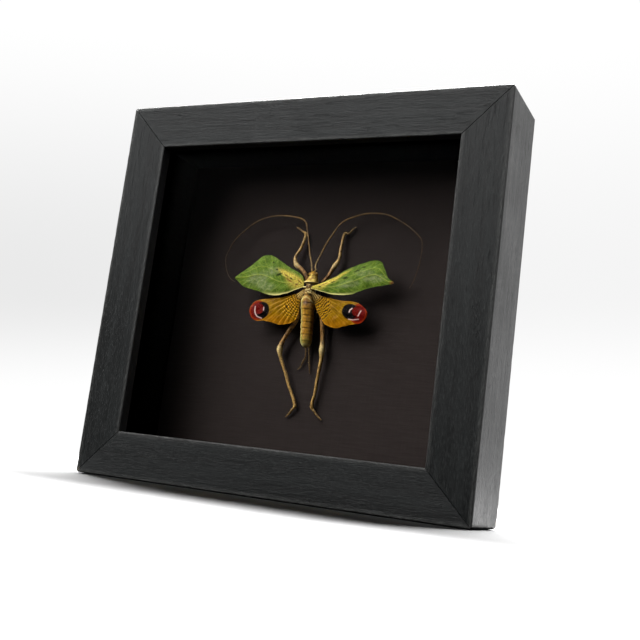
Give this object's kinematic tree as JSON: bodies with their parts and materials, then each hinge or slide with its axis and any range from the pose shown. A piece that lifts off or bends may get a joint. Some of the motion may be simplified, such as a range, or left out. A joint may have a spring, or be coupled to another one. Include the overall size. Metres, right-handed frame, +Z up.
{
  "type": "framed katydid specimen",
  "caption": "Spread leaf-winged katydid with eyespots on its hindwings, pinned to a dark board in a deep black wooden frame behind glass.",
  "frame": {"origin": "middle of the frame's underside, on the surface that it stands on", "axes": "+X to the right seen from the front, +Y from the glass to the back panel, +Z up"},
  "size_m": [0.2, 0.0395, 0.188],
  "materials": {
    "stained_wood": "satin black stain, fine open grain along each rail",
    "pane": "clear polished glass",
    "black_strip": "dead matt black",
    "mount_cloth": "very dark brown-black fine weave",
    "hardboard": "raw brown hardboard",
    "steel": "plain zinc-plated steel",
    "insect_body": "dry tan and olive cuticle with brown bands",
    "forewing": "leaf green, satin, veined, with pale and brown flecks",
    "hindwing": "ochre with brown cross veins and a red and black eyespot",
    "insect_limb": "dry brown and straw cuticle",
    "pin_metal": "dull brass"
  },
  "bodies": {
    "root": {"rail_top": "stained_wood", "rail_bottom": "stained_wood", "rail_left": "stained_wood", "rail_right": "stained_wood", "glass": "pane", "spacer_top": "black_strip", "spacer_bottom": "black_strip", "spacer_left": "black_strip", "spacer_right": "black_strip", "mount_board": "mount_cloth", "back_panel": "hardboard", "tab_top_1": "steel", "tab_top_2": "steel", "tab_bottom_1": "steel", "tab_bottom_2": "steel", "tab_left_1": "steel", "tab_left_2": "steel", "tab_right_1": "steel", "tab_right_2": "steel", "hanger": "steel", "nail_left": "steel", "nail_right": "steel", "body": "insect_body", "forewing_left": "forewing", "forewing_right": "forewing", "hindwing_left": "hindwing", "hindwing_right": "hindwing", "antenna_left": "insect_limb", "antenna_right": "insect_limb", "foreleg_left": "insect_limb", "foreleg_right": "insect_limb", "midleg_left": "insect_limb", "midleg_right": "insect_limb", "hindleg_left": "insect_limb", "hindleg_right": "insect_limb", "pin": "pin_metal"}
  },
  "joints": []
}
